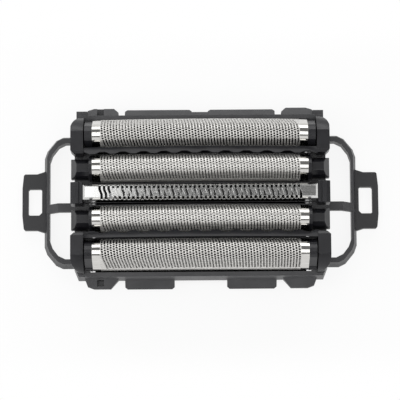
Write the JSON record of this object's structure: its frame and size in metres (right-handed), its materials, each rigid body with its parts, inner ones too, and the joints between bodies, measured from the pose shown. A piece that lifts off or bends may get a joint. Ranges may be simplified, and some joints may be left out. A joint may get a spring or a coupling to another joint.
{
  "type": "shaver foil head",
  "caption": "Replacement head of a reciprocating shaver: arched perforated foils either side of a slit comb trimmer, floating in a moulded frame with spring latch loops.",
  "frame": {"origin": "on the surface that the head stands on, under the middle of its bounding box", "axes": "+X along the foils to the right, +Y to the rear, +Z out of the shaving face"},
  "size_m": [0.0668, 0.0338, 0.0165],
  "materials": {
    "frame_plastic": "satin moulded",
    "black_plastic": "satin moulded",
    "foil_steel": "bright",
    "comb_steel": "ground",
    "carrier_plastic": "plain",
    "spring_steel": "bright"
  },
  "bodies": {
    "frame": {"base_frame": "frame_plastic", "rear_skin_guard": "black_plastic", "front_skin_guard": "black_plastic"},
    "rear_outer": {"rear_outer_foil": "foil_steel", "rear_outer_holder": "black_plastic"},
    "rear_inner": {"rear_inner_foil": "foil_steel", "rear_inner_holder": "black_plastic"},
    "front_inner": {"front_inner_foil": "foil_steel", "front_inner_holder": "black_plastic"},
    "front_outer": {"front_outer_foil": "foil_steel", "front_outer_holder": "black_plastic"},
    "trimmer": {"trimmer_comb": "comb_steel", "trimmer_holder": "black_plastic", "left_cutter_spring": "spring_steel", "right_cutter_spring": "spring_steel"},
    "cutter": {"trimmer_cutter": "comb_steel", "cutter_carrier": "carrier_plastic"}
  },
  "joints": [
    {"name": "rear_outer_float", "type": "slide", "parent": "frame", "child": "rear_outer", "axis": [0, 0, 1], "range_m": [0, 0.0009]},
    {"name": "rear_inner_float", "type": "slide", "parent": "frame", "child": "rear_inner", "axis": [0, 0, 1], "range_m": [0, 0.0009]},
    {"name": "front_inner_float", "type": "slide", "parent": "frame", "child": "front_inner", "axis": [0, 0, 1], "range_m": [0, 0.0009]},
    {"name": "front_outer_float", "type": "slide", "parent": "frame", "child": "front_outer", "axis": [0, 0, 1], "range_m": [0, 0.0009]},
    {"name": "trimmer_float", "type": "slide", "parent": "frame", "child": "trimmer", "axis": [0, 0, 1], "range_m": [0, 0.0009]},
    {"name": "cutter_stroke", "type": "slide", "parent": "trimmer", "child": "cutter", "axis": [1, 0, 0], "range_m": [-0.0018, 0]}
  ]
}
